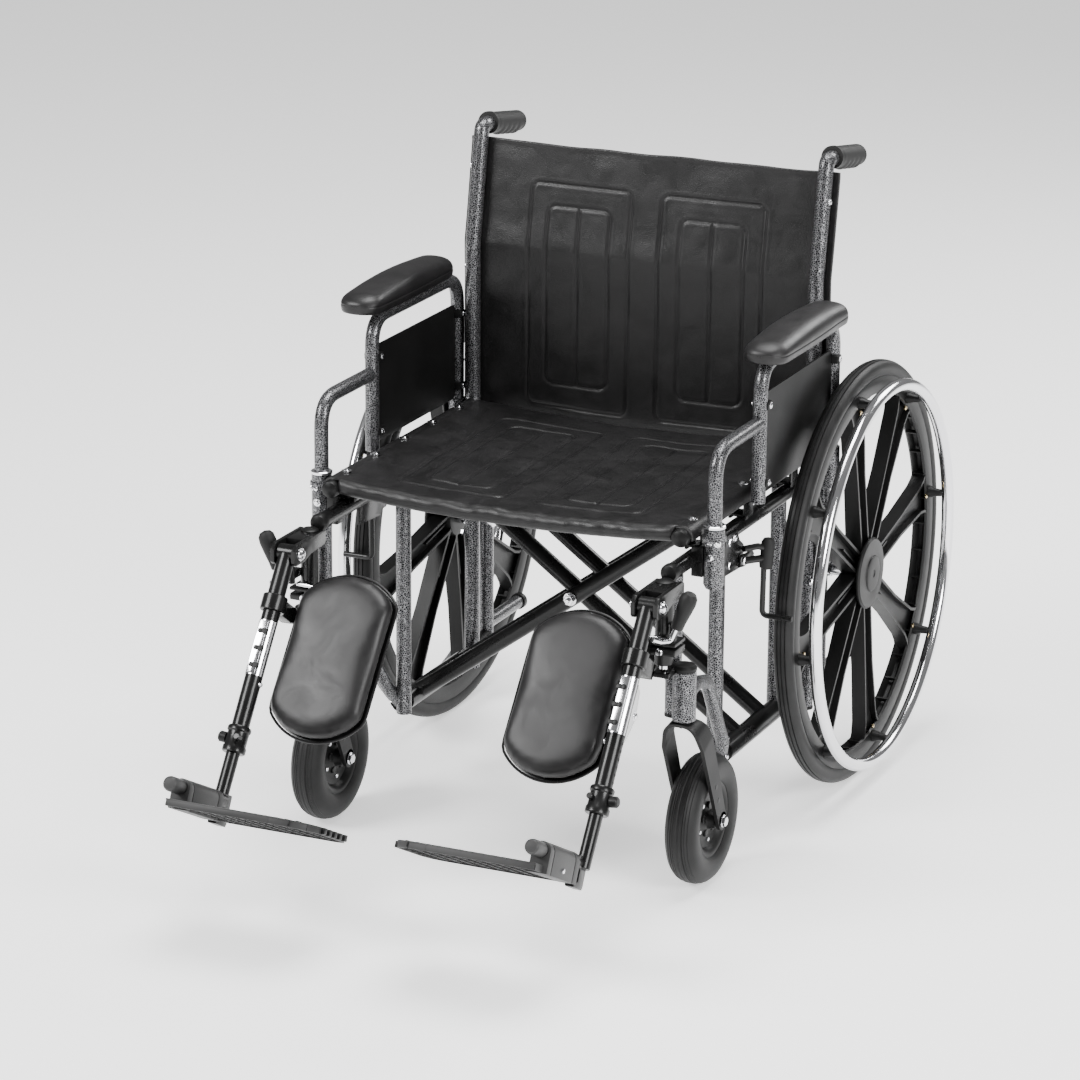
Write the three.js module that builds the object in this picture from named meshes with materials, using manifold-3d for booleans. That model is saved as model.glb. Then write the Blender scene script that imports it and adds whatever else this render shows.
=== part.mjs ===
// Manual folding wheelchair with elevating legrests, in millimetres, +Z up, facing -Y.
// Every side part is drawn for the +X (left) side and mirrored for the -X (right) side.
import * as THREE from 'three';
import { mergeVertices } from 'three/addons/utils/BufferGeometryUtils.js';
import Module from 'manifold-3d';

const wasm = await Module();
wasm.setup();

// driving dimensions
const CENTRE_SHIFT = 339.9; // moves the rear axle back so the box is centred on the origin
const WHEEL_X = 322; // centre plane of a rear wheel
const TYRE_R = 305; // 24 inch wheel
const AXLE_Z = 305;
const TUBE_R = 11; // frame tube
const POST_X = 264; // axle post and back cane
const RAIL_Z = 454; // upper side rail
const LOWER_X = 245; // lower rail that carries a cross member
const LOWER_Z = 124;
const SEAT_X = 258; // seat rail
const SEAT_Z = 492;
const PIVOT_Z = 303; // centre pivot of the cross members
const ARM_X = 291; // plane of an armrest
const STEM = [281, -548]; // caster stem
const CASTER_Y = -478;
const CASTER_R = 90;
const PIN = [261, -572]; // hanger pin
const LEG_X = 263;
const LEG_PIVOT = [-632, 434]; // legrest pivot in y and z
const DOWN = [-0.572, -0.82]; // down the leg in y and z
const FRONT = [-0.82, 0.572]; // out of the front of the leg in y and z
const WHEEL_STEPS = 32;
const CASTER_STEPS = 20;

const v3 = (x, y, z) => new THREE.Vector3(x, y, z);

function toSolid(geometry) {
  const bare = geometry.clone();
  bare.deleteAttribute('normal');
  bare.deleteAttribute('uv');
  const welded = mergeVertices(bare, 1e-4);
  return new wasm.Manifold(new wasm.Mesh({
    numProp: 3,
    vertProperties: new Float32Array(welded.attributes.position.array),
    triVerts: new Uint32Array(welded.index.array),
  }));
}

const union = (...solids) => solids.reduce((sum, solid) => sum.add(solid));

// a polyline that puts one ring of a tube on each of its nodes
class NodeCurve extends THREE.Curve {
  constructor(nodes) {
    super();
    this.nodes = nodes;
  }

  getPoint(t) {
    const last = this.nodes.length - 1;
    const i = Math.min(Math.floor(t * last + 1e-6), last - 1);
    return this.nodes[i].clone().lerp(this.nodes[i + 1], t * last - i);
  }

  getPointAt(t) {
    return this.getPoint(t);
  }

  getTangentAt(t) {
    const last = this.nodes.length - 1;
    const i = Math.round(t * last);
    const tangent = v3(0, 0, 0);
    if (i > 0) tangent.add(this.nodes[i].clone().sub(this.nodes[i - 1]).normalize());
    if (i < last) tangent.add(this.nodes[i + 1].clone().sub(this.nodes[i]).normalize());
    return tangent.normalize();
  }
}

function roundedNodes(corners, bend, steps = 4) {
  const points = corners.map((corner) => v3(...corner));
  const nodes = [points[0]];
  for (let i = 1; i < points.length - 1; i += 1) {
    const into = points[i].clone().sub(points[i - 1]).normalize();
    const out = points[i + 1].clone().sub(points[i]).normalize();
    const turn = into.angleTo(out);
    const cut = bend * Math.tan(turn / 2);
    const start = points[i].clone().addScaledVector(into, -cut);
    const end = points[i].clone().addScaledVector(out, cut);
    const count = turn > 0.5 ? steps : 2;
    for (let k = 0; k <= count; k += 1) {
      const t = k / count;
      const a = start.clone().lerp(points[i], t);
      const b = points[i].clone().lerp(end, t);
      nodes.push(a.lerp(b, t));
    }
  }
  nodes.push(points[points.length - 1]);
  return nodes;
}

function tube(corners, radius, bend = 30, sides = 8) {
  const nodes = roundedNodes(corners, bend);
  const section = [];
  for (let i = 0; i < sides; i += 1) {
    const a = (i + 0.5) * 2 * Math.PI / sides;
    section.push(new THREE.Vector2(radius * Math.cos(a), radius * Math.sin(a)));
  }
  return toSolid(new THREE.ExtrudeGeometry(new THREE.Shape(section), {
    steps: nodes.length - 1,
    extrudePath: new NodeCurve(nodes),
  }));
}

function rod(from, to, radius, sides = 10) {
  const a = v3(...from);
  const b = v3(...to);
  const axis = b.clone().sub(a);
  const geometry = new THREE.CylinderGeometry(radius, radius, axis.length(), sides);
  geometry.applyQuaternion(new THREE.Quaternion().setFromUnitVectors(v3(0, 1, 0), axis.normalize()));
  const middle = a.lerp(b, 0.5);
  geometry.translate(middle.x, middle.y, middle.z);
  return toSolid(geometry);
}

function box(x0, x1, y0, y1, z0, z1) {
  const geometry = new THREE.BoxGeometry(x1 - x0, y1 - y0, z1 - z0);
  geometry.translate((x0 + x1) / 2, (y0 + y1) / 2, (z0 + z1) / 2);
  return toSolid(geometry);
}

// a plate cut in the YZ plane and extruded across X
function sidePlate(outline, x0, x1) {
  const shape = new THREE.Shape(outline.map(([y, z]) => new THREE.Vector2(y, z)));
  const geometry = new THREE.ExtrudeGeometry(shape, { depth: x1 - x0, bevelEnabled: false });
  geometry.applyMatrix4(new THREE.Matrix4().set(0, 0, 1, x0, 1, 0, 0, 0, 0, 1, 0, 0, 0, 0, 0, 1));
  return toSolid(geometry);
}

// a ring turned about the X axis through (y, z); the profile is [radius, x] and closes on itself
function turned(profile, y, z, steps) {
  const points = [...profile, profile[0]].map(([r, x]) => new THREE.Vector2(r, x));
  const geometry = new THREE.LatheGeometry(points, steps);
  geometry.applyMatrix4(new THREE.Matrix4().set(0, 1, 0, 0, 1, 0, 0, y, 0, 0, -1, z, 0, 0, 0, 1));
  let solid = toSolid(geometry);
  if (solid.volume() < 0) {
    const index = geometry.index.array;
    for (let i = 0; i < index.length; i += 3) {
      [index[i], index[i + 1]] = [index[i + 1], index[i]];
    }
    solid = toSolid(geometry);
  }
  return solid;
}

// legrest coordinates: s down the leg, t out of its front
const legY = (s, t) => LEG_PIVOT[0] + DOWN[0] * s + FRONT[0] * t;
const legZ = (s, t) => LEG_PIVOT[1] + DOWN[1] * s + FRONT[1] * t;
const legPoint = (x, s, t) => [x, legY(s, t), legZ(s, t)];

// foot coordinates: f forward from the lower end of the leg, d down through the footplate
function footPoint(x, f, d) {
  const [, y, z] = legPoint(x, 350, 0);
  return [x, y - 0.887 * f - 0.462 * d, z + 0.462 * f - 0.887 * d];
}

function footBox(x0, x1, f0, f1, d0, d1) {
  const corners = [[f0, d0], [f1, d0], [f1, d1], [f0, d1]];
  return sidePlate(corners.map(([f, d]) => footPoint(0, f, d).slice(1)), x0, x1);
}

function legPlate(outline, x0, x1) {
  return sidePlate(outline.map(([s, t]) => [legY(s, t), legZ(s, t)]), x0, x1);
}

function legBox(x0, x1, s0, s1, t0, t1) {
  return legPlate([[s0, t0], [s0, t1], [s1, t1], [s1, t0]], x0, x1);
}

// a cushion outline in a plane: [across, down] pairs with rounded ends
function padOutline(halfWidth, halfHeight, corner, steps = 4) {
  const points = [];
  const centres = [[1, 1], [-1, 1], [-1, -1], [1, -1]];
  centres.forEach(([cx, cz], quarter) => {
    for (let i = 0; i <= steps; i += 1) {
      const a = (quarter + i / steps) * Math.PI / 2;
      points.push([
        cx * (halfWidth - corner) + corner * Math.cos(a),
        cz * (halfHeight - corner) + corner * Math.sin(a),
      ]);
    }
  });
  return points;
}

function sideFrame() {
  const [sx, sy] = STEM;
  const [px, py] = PIN;
  let frame = union(
    tube([[258, -545, RAIL_Z], [POST_X, 0, RAIL_Z], [POST_X, 0, 108]], TUBE_R),
    rod([POST_X, -48, 108], [POST_X, -48, 466], TUBE_R),
    rod([259, -533, 254], [259, -533, RAIL_Z], TUBE_R),
    rod([238, -331, 114], [238, -331, 452], TUBE_R),
    rod([238, -104, 112], [238, -104, 452], TUBE_R),
    rod([238, -331, 446], [262, -331, 446], 8),
    rod([238, -104, 446], [262, -104, 446], 8),
    rod([236, -331, LOWER_Z], [250, -331, LOWER_Z], 9),
    tube([[LOWER_X, -330, LOWER_Z], [LOWER_X, -120, LOWER_Z], [POST_X, 0, LOWER_Z]], TUBE_R, 40),
    tube([
      [sx, -540, 283], [270, -480, 282], [266, -432, 268], [256, -345, 150], [246, -322, LOWER_Z],
    ], 9, 16),
    rod([sx, sy, 252], [sx, sy, 323], 16, 16),
    box(256, 284, sy, -533, 262, 316),
    rod([ARM_X, -477, 415], [ARM_X, -477, 500], 14, 16),
    box(262, 282, -485, -469, 432, 474),
    rod([ARM_X, -44, 440], [ARM_X, -44, 500], 13, 16),
    box(264, 283, -52, -36, 446, 464),
    box(px - 11, px + 11, py - 12, -533, 321, 327),
    rod([POST_X, 0, 142], [POST_X, 128, 142], 10),
  );
  frame = frame.subtract(rod([sx, sy, 251], [sx, sy, 318], 7.6, 16));
  frame = frame.subtract(rod([ARM_X, -477, 421], [ARM_X, -477, 501], 11, 16));
  frame = frame.subtract(rod([ARM_X, -44, 439], [ARM_X, -44, 501], 11, 16));
  return frame.subtract(rod([ARM_X, -495, 482], [ARM_X, -480, 482], 4.8, 12));
}

function rearWheel() {
  let wheel = union(
    turned([[8.3, -14], [28, -14], [28, 24], [8.3, 24]], 0, AXLE_Z, 16),
    turned([[262, -10], [283, -12], [283, 12], [262, 10]], 0, AXLE_Z, WHEEL_STEPS),
    turned([[0, 19.5], [14, 19.5], [14, 24], [0, 24]], 0, AXLE_Z, 16),
    turned([[27, 6], [50, 12], [50, 18], [27, 22]], 0, AXLE_Z, WHEEL_STEPS),
  ).translate([WHEEL_X, 0, 0]);
  for (let i = 0; i < 8; i += 1) {
    const a = (10.5 + 45 * i) * Math.PI / 180;
    const half = [[24, 15], [150, 16], [240, 23], [266, 33]];
    const outline = [...half.map(([r, w]) => [r, -w]), ...half.reverse()].map(([r, w]) => [
      r * Math.cos(a) - w * Math.sin(a),
      AXLE_Z + r * Math.sin(a) + w * Math.cos(a),
    ]);
    wheel = wheel.add(sidePlate(outline, WHEEL_X - 10, WHEEL_X + 10));
  }
  return wheel;
}

function handrim() {
  const ring = [];
  for (let i = 0; i < 8; i += 1) {
    const a = i * Math.PI / 4;
    ring.push([273 + 9 * Math.cos(a), 9 * Math.sin(a)]);
  }
  let rim = turned(ring, 0, AXLE_Z, WHEEL_STEPS).translate([361, 0, 0]);
  for (let i = 0; i < 8; i += 1) {
    const a = (10.5 + 45 * i) * Math.PI / 180;
    const outline = [[263, -7], [281, -7], [281, 7], [263, 7]].map(([r, w]) => [
      r * Math.cos(a) - w * Math.sin(a),
      AXLE_Z + r * Math.sin(a) + w * Math.cos(a),
    ]);
    rim = rim.add(sidePlate(outline, WHEEL_X + 12.6, 358));
  }
  return rim;
}

function casterFork() {
  const [sx, sy] = STEM;
  const leg = [
    [sy - 15, 251.7], [sy - 15, 232], [-492, 92], [-486, 79], [-472, 78], [-464, 88],
    [-466, 108], [sy + 15, 238],
    [sy + 15, 251.7],
  ];
  return union(
    sidePlate(leg, sx - 30.5, sx - 25.5),
    sidePlate(leg, sx + 25.5, sx + 30.5),
    box(sx - 30.5, sx + 30.5, sy - 15, sy + 15, 246, 251.7),
    rod([sx, sy, 250], [sx, sy, 312], 6.5, 12),
    rod([sx - 36, CASTER_Y, CASTER_R], [sx + 36, CASTER_Y, CASTER_R], 5, 10),
  );
}

function casterWheel(profile) {
  return turned(profile, CASTER_Y, CASTER_R, CASTER_STEPS).translate([STEM[0], 0, 0]);
}

function lockLever() {
  return union(
    box(276.3, 280.3, -354, -303, 408, 422),
    box(276.3, 280.3, -319, -306, 324, 422),
    rod([278, -312.5, 330], [340, -312.5, 330], 5, 10),
    rod([278, -311, 414], [300, -311, 414], 5, 10),
    rod([300, -311, 396], [300, -311, 432], 9, 12),
  );
}

function legTube() {
  const body = union(
    rod([251, ...LEG_PIVOT], [275, ...LEG_PIVOT], 12, 16),
    rod(legPoint(LEG_X, 0, 0), legPoint(LEG_X, 280, 0), 12),
    rod(legPoint(LEG_X, 245, 0), legPoint(LEG_X, 283, 0), 15),
  );
  return body.subtract(rod([250, ...LEG_PIVOT], [276, ...LEG_PIVOT], 6, 16))
    .subtract(rod(legPoint(LEG_X, 100, 0), legPoint(LEG_X, 290, 0), 10.3, 16));
}

function footTube() {
  return union(
    rod(legPoint(LEG_X, 160, 0), legPoint(LEG_X, 356, 0), 9.5),
    footBox(252, 264, -10, 22, -9, 30),
    rod(footPoint(256, 6, 0), footPoint(256, 167, 0), 9.5, 12),
  );
}

function footPlate() {
  return union(
    footBox(55, 238, 14, 155, 18, 28),
    footBox(236, 262, 28, 155, 18, 28),
    footBox(243, 269, 28, 131, -12, 29),
  ).subtract(rod(footPoint(256, 20, 0), footPoint(256, 140, 0), 10.3, 16));
}

function calfShape(halfWidth, halfHeight, corner, t0, t1) {
  const outline = padOutline(halfWidth, halfHeight, corner);
  const lean = 38 * Math.PI / 180;
  const shape = new THREE.Shape(outline.map(([a, b]) => new THREE.Vector2(a, b)));
  const geometry = new THREE.ExtrudeGeometry(shape, { depth: t1 - t0, bevelEnabled: false });
  geometry.translate(0, 0, t0);
  // local z points out of the front of the leg, local y up the leg
  geometry.rotateX(Math.PI / 2 - lean);
  geometry.translate(171, -686.5, 317);
  return toSolid(geometry);
}

function calfPlate() {
  return union(
    calfShape(50, 96, 40, -21, -17.3),
    legBox(178, 270, 62, 84, -54, -44.5),
    legBox(255, 271, 62, 84, -54, -10),
    rod(legPoint(LEG_X, 62, 0), legPoint(LEG_X, 84, 0), 17, 16),
  ).subtract(rod(legPoint(LEG_X, 60, 0), legPoint(LEG_X, 86, 0), 12.7, 16));
}

function hanger() {
  const [px, py] = PIN;
  return union(
    rod([px, py, 337], [px, py, 440], 12.5, 16),
    box(250, 278, -612, -562, 428, 446),
    box(244, 250.5, -648, -600, 420, 448),
    box(275.5, 282, -648, -600, 420, 448),
    rod([244, ...LEG_PIVOT], [282, ...LEG_PIVOT], 5.2, 12),
  ).subtract(rod([px, py, 330], [px, py, 436], 7.4, 16));
}

function armFrame() {
  return union(
    tube([[ARM_X, -477, 425], [ARM_X, -477, 604], [ARM_X, -321, 604]], 10, 45),
    tube([[ARM_X, -321, 498], [ARM_X, -321, 682], [ARM_X, -44, 682], [ARM_X, -44, 445]], 10, 45),
  );
}

function backHalf() {
  const outline = [[-52, 490], [-44, 490], [-44, 735], [-21.6, 866], [-29.6, 866], [-52, 735]];
  return sidePlate(outline, 0.2, 251);
}

function padProfile(y0, y1, z0, z1, x0, x1) {
  const shape = new THREE.Shape(padOutline((x1 - x0) / 2, (y1 - y0) / 2, 22, 3).map(
    ([a, b]) => new THREE.Vector2(a + (x0 + x1) / 2, b + (y0 + y1) / 2),
  ));
  const geometry = new THREE.ExtrudeGeometry(shape, { depth: z1 - z0, bevelEnabled: false });
  geometry.translate(0, 0, z0);
  return toSolid(geometry);
}

const BLACK = { color: 0x15161a, roughness: 0.35, metalness: 0.4 };
const SILVER_VEIN = { color: 0x3a3d42, roughness: 0.5, metalness: 0.4 };
const CHROME = { color: 0xd5d8dc, roughness: 0.15, metalness: 1 };
const RUBBER = { color: 0x1b1b1c, roughness: 0.8, metalness: 0 };
const PLASTIC = { color: 0x17181a, roughness: 0.6, metalness: 0 };
const VINYL = { color: 0x101114, roughness: 0.45, metalness: 0 };

const group = new THREE.Group();

function addMesh(name, solid, look, mirrored) {
  const mesh = solid.getMesh();
  const positions = new Float32Array(mesh.numVert * 3);
  for (let i = 0; i < mesh.numVert; i += 1) {
    positions[3 * i] = mesh.vertProperties[mesh.numProp * i] * (mirrored ? -1 : 1);
    positions[3 * i + 1] = mesh.vertProperties[mesh.numProp * i + 1] + CENTRE_SHIFT;
    positions[3 * i + 2] = mesh.vertProperties[mesh.numProp * i + 2];
  }
  const index = Array.from(mesh.triVerts);
  if (mirrored) {
    for (let i = 0; i < index.length; i += 3) {
      [index[i], index[i + 1]] = [index[i + 1], index[i]];
    }
  }
  const geometry = new THREE.BufferGeometry();
  geometry.setAttribute('position', new THREE.BufferAttribute(positions, 3));
  geometry.setIndex(index);
  geometry.computeVertexNormals();
  const node = new THREE.Mesh(geometry, new THREE.MeshStandardMaterial(look));
  node.name = name;
  group.add(node);
}

// cross members: lower pivot sleeve, two tubes, seat rail
function crossMember(side, tubeYs) {
  const lower = -side * LOWER_X;
  const upper = side * SEAT_X;
  let member = rod([lower, -314, LOWER_Z], [lower, -124, LOWER_Z], 14.5, 16);
  member = member.add(rod([upper, -512, SEAT_Z], [upper, -72, SEAT_Z], TUBE_R));
  for (const y of tubeYs) {
    member = member.add(rod([lower, y, LOWER_Z], [upper, y, SEAT_Z], 12));
  }
  return member.subtract(rod([lower, -316, LOWER_Z], [lower, -122, LOWER_Z], 11.7, 16));
}

let crossB = crossMember(1, [-275, -134]);
let crossA = crossMember(-1, [-250, -159]);
const boltHole = rod([0, -300, PIVOT_Z], [0, -100, PIVOT_Z], 5.4, 16);
crossA = crossA.subtract(boltHole);
crossB = crossB.subtract(boltHole);
addMesh('cross_a', crossA, BLACK, false);
addMesh('cross_b', crossB, BLACK, false);
addMesh('cross_bolt', union(
  rod([0, -296, PIVOT_Z], [0, -287.6, PIVOT_Z], 9, 6),
  rod([0, -290, PIVOT_Z], [0, -118, PIVOT_Z], 4.8, 12),
), CHROME, false);

const leftSide = {
  side_frame: [sideFrame(), SILVER_VEIN],
  back_cane: [tube([
    [POST_X, -48, 466.4], [POST_X, -48, 735], [POST_X, -20, 899], [POST_X, 6, 901],
  ], TUBE_R, 26), SILVER_VEIN],
  push_grip: [rod([POST_X, 9, 900], [POST_X, 107, 885], 15.5), RUBBER],
  rear_axle: [union(
    rod([275.6, 0, AXLE_Z], [307.6, 0, AXLE_Z], 12),
    rod([300, 0, AXLE_Z], [340, 0, AXLE_Z], 7.5),
  ), CHROME],
  mag_wheel: [rearWheel(), PLASTIC],
  rear_tyre: [turned([[283.5, -11], [292, -14], [300, -11], [TYRE_R, -4], [TYRE_R, 4], [300, 11], [292, 14],
    [283.5, 11]], 0, AXLE_Z, WHEEL_STEPS).translate([WHEEL_X, 0, 0]), RUBBER],
  handrim: [handrim(), CHROME],
  caster_fork: [casterFork(), BLACK],
  caster_rim: [casterWheel([
    [5.9, -24], [12, -24], [16, -15], [52, -17], [52, 17], [16, 15], [12, 24], [5.9, 24],
  ]), PLASTIC],
  caster_tyre: [casterWheel([
    [52.4, -21], [78, -23], [87, -16], [CASTER_R, -6], [CASTER_R, 6], [87, 16], [78, 23],
    [52.4, 21],
  ]), RUBBER],
  wheel_lock_bracket: [box(271.8, 275.6, -400, -330, 405, 460), BLACK],
  wheel_lock_lever: [lockLever(), CHROME],
  arm_frame: [armFrame(), SILVER_VEIN],
  arm_pad: [padProfile(-366, -70, 692.4, 728, 274, 332), VINYL],
  side_panel: [box(ARM_X - 1.5, ARM_X + 1.5, -310.5, -54.5, 501, 643), PLASTIC],
  arm_button: [rod([ARM_X, -496, 482], [ARM_X, -490.6, 482], 4, 12), CHROME],
  hanger_pin: [rod([...PIN, 328], [...PIN, 434], 6.4, 12), CHROME],
  hanger: [hanger(), BLACK],
  hanger_latch: [union(
    box(275, 284, -590, -570, 380, 396),
    rod([280, -590, 376], [280, -590, 400], 5, 10),
  ), BLACK],
  leg_tube: [legTube(), BLACK],
  ratchet_bar: [legBox(257, 269, 101, 174, 12.4, 16.4), CHROME],
  ratchet_lever: [union(
    tube([[281, -652, 396], [284, -616, 386], [294, -606, 404]], 4, 8, 8),
    rod([293, -606, 402], [311, -606, 446], 11),
  ), RUBBER],
  calf_plate: [calfPlate(), BLACK],
  calf_pad: [calfShape(68, 116, 58, -17, 17), VINYL],
  foot_tube: [footTube(), BLACK],
  foot_plate: [footPlate(), PLASTIC],
};

for (const [name, [solid, look]] of Object.entries(leftSide)) {
  addMesh(`${name}_left`, solid, look, false);
  addMesh(`${name}_right`, solid, look, true);
}

const seatHalf = box(0.2, 236, -505, -78, 494, 502);
addMesh('seat_left', seatHalf, VINYL, false);
addMesh('seat_right', seatHalf, VINYL, true);
addMesh('back_left', backHalf(), VINYL, false);
addMesh('back_right', backHalf(), VINYL, true);

export default group;
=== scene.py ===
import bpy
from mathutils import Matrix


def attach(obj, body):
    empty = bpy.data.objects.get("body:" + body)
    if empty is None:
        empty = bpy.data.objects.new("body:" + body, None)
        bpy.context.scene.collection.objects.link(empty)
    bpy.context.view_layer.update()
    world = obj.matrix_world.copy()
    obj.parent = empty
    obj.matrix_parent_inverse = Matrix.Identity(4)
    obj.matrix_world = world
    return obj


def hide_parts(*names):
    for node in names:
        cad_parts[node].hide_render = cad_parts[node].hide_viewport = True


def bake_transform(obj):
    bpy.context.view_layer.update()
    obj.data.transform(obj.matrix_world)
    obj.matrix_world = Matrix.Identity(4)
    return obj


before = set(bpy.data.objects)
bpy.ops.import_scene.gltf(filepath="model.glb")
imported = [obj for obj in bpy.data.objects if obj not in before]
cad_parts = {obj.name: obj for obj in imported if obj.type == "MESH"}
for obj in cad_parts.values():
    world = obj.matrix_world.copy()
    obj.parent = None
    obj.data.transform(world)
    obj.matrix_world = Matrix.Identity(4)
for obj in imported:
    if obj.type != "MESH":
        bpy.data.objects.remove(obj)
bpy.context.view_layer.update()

import math

import bmesh
import bpy
from mathutils import Matrix, Vector, noise

SHIFT = 0.3399  # the rear axle's y in the frame, in metres

# Millimetres from here on: x across, y from the rear axle (front is negative), z from the floor.
# The numbers are for the left side, and the right side mirrors them.
AXLE_Z = 305
WHEEL_X = 322
STEM = (281, -548)  # x, y of the caster's stem
CASTER = (-478, 90)  # y, z of its axle
PIN = (261, -572)  # x, y of the hanger's pin
LEG_X = 263
LEG_PIVOT = (-632, 434)  # y, z of the pivot the legrest lifts about
LEG_END = 350
FOOT_X = 256
ARM_X = 291
CANE = (264, -48)  # x, y of the back cane below its bend
CANE_BEND = 735
UPPER_RAIL_Z = 454
LOWER_RAIL = (245, 124)  # x, z
SEAT_RAIL = (258, 492)  # x, z
PIVOT_Z = 303  # height of the bolt through the cross
SEAT_SCREWS = (-470, -380, -290, -200, -112)

# Unit directions in the y, z plane: along and out of the leg, and down through and along the footplate.
DOWN = (-0.572, -0.82)
FRONT = (-0.82, 0.572)
FOOT_DOWN = (-0.462, -0.887)
FOOT_FRONT = (-0.887, 0.462)
X_AXIS = Vector((1, 0, 0))

# Turned profiles used more than once, as (radius, distance along the axis).
END_CAP = [(11.2, -3), (12.4, -2), (12.6, 6), (11, 10), (6, 12.5), (0, 13)]
FOOT_PLUG = [(10.5, 0), (11.6, 1), (11.6, 5), (8, 6.5), (0, 7)]


def W(x, y, z):
    return Vector((x * 0.001, y * 0.001 + SHIFT, z * 0.001))


def leg(x, s, t):
    """A point of the legrest: s down the leg, t out of its front."""
    return (x, LEG_PIVOT[0] + DOWN[0] * s + FRONT[0] * t, LEG_PIVOT[1] + DOWN[1] * s + FRONT[1] * t)


def foot(x, f, d):
    """A point of the foot assembly: f forward from the lower end of the leg, d down through the plate."""
    _, y, z = leg(x, LEG_END, 0)
    return (x, y + FOOT_FRONT[0] * f + FOOT_DOWN[0] * d, z + FOOT_FRONT[1] * f + FOOT_DOWN[1] * d)


def cane_y(z):
    """The middle of the back cane, which leans back above its bend."""
    return CANE[1] + (28 * (z - CANE_BEND) / 164 if z > CANE_BEND else 0)


# ---------------------------------------------------------------- materials


def material(name, colour, rough, metal=0.0, coat=0.0, shine=0.22):
    mat = bpy.data.materials.new(name)
    mat.use_nodes = True
    nodes = mat.node_tree.nodes
    bsdf = nodes["Principled BSDF"]
    bsdf.inputs["Base Color"].default_value = (*colour, 1)
    bsdf.inputs["Roughness"].default_value = rough
    bsdf.inputs["Metallic"].default_value = metal
    bsdf.inputs["Coat Weight"].default_value = coat
    bsdf.inputs["Coat Roughness"].default_value = 0.08
    bsdf.inputs["Specular IOR Level"].default_value = shine
    return mat, nodes, mat.node_tree.links, bsdf


def coords(nodes):
    return nodes.new("ShaderNodeTexCoord").outputs["Object"]


def texture(nodes, links, kind, scale, **values):
    node = nodes.new(kind)
    node.inputs["Scale"].default_value = scale
    for key, value in values.items():
        node.inputs[key].default_value = value
    links.new(coords(nodes), node.inputs["Vector"])
    return node


def ramp(nodes, links, source, stops):
    node = nodes.new("ShaderNodeValToRGB")
    points = node.color_ramp.elements
    points[0].position, points[0].color = stops[0][0], (*stops[0][1], 1)
    points[1].position, points[1].color = stops[1][0], (*stops[1][1], 1)
    for at, colour in stops[2:]:
        points.new(at).color = (*colour, 1)
    links.new(source, node.inputs["Fac"])
    return node.outputs["Color"]


def shade(nodes, links, bsdf, name, source, low, high):
    """Drives one input of the shader by a noise, between two (position, colour) stops."""
    links.new(ramp(nodes, links, source.outputs["Fac"], [low, high]), bsdf.inputs[name])


def bump(nodes, links, bsdf, source, strength, distance):
    node = nodes.new("ShaderNodeBump")
    node.inputs["Strength"].default_value = strength
    node.inputs["Distance"].default_value = distance
    links.new(source, node.inputs["Height"])
    links.new(node.outputs["Normal"], bsdf.inputs["Normal"])


def grey(v):
    return (v, v, v)


def hammertone():
    mat, nodes, links, bsdf = material("silver_vein", grey(0.05), 0.3, metal=0.7, coat=0.1)
    cells = texture(nodes, links, "ShaderNodeTexVoronoi", 360, Randomness=1.0)
    cells.feature = "DISTANCE_TO_EDGE"
    warp = texture(nodes, links, "ShaderNodeTexNoise", 300, Detail=4.0, Distortion=1.2)
    mix = nodes.new("ShaderNodeMath")
    mix.operation = "MULTIPLY"
    links.new(cells.outputs["Distance"], mix.inputs[0])
    links.new(warp.outputs["Fac"], mix.inputs[1])
    colour = ramp(nodes, links, mix.outputs[0], [
        (0.015, (0.30, 0.30, 0.31)), (0.08, (0.008, 0.008, 0.009)), (0.04, (0.04, 0.04, 0.042))])
    links.new(colour, bsdf.inputs["Base Color"])
    bump(nodes, links, bsdf, warp.outputs["Fac"], 0.5, 0.0008)
    return mat


def gloss_black():
    mat, nodes, links, bsdf = material("gloss_black", grey(0.005), 0.28, coat=0.12)
    peel = texture(nodes, links, "ShaderNodeTexNoise", 260, Detail=3.0)
    wear = texture(nodes, links, "ShaderNodeTexNoise", 14, Detail=6.0, Roughness=0.6)
    shade(nodes, links, bsdf, "Base Color", wear, (0.3, grey(0.004)), (0.75, grey(0.008)))
    shade(nodes, links, bsdf, "Roughness", wear, (0.3, grey(0.22)), (0.8, grey(0.38)))
    bump(nodes, links, bsdf, peel.outputs["Fac"], 0.12, 0.0003)
    return mat


def chrome(name="chrome", tint=(0.82, 0.82, 0.84)):
    mat, nodes, links, bsdf = material(name, tint, 0.1, metal=1.0)
    smudge = texture(nodes, links, "ShaderNodeTexNoise", 22, Detail=5.0)
    shade(nodes, links, bsdf, "Roughness", smudge, (0.35, grey(0.07)), (0.75, grey(0.2)))
    bump(nodes, links, bsdf, smudge.outputs["Fac"], 0.04, 0.0003)
    return mat


def plastic(name, value, rough, grain=900):
    mat, nodes, links, bsdf = material(name, grey(value), rough)
    fine = texture(nodes, links, "ShaderNodeTexNoise", grain, Detail=4.0)
    broad = texture(nodes, links, "ShaderNodeTexNoise", 9, Detail=5.0)
    shade(nodes, links, bsdf, "Base Color", broad, (0.3, grey(value * 0.75)), (0.8, grey(value * 1.4)))
    shade(nodes, links, bsdf, "Roughness", broad, (0.3, grey(rough - 0.06)), (0.8, grey(rough + 0.1)))
    bump(nodes, links, bsdf, fine.outputs["Fac"], 0.25, 0.0004)
    return mat


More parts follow.
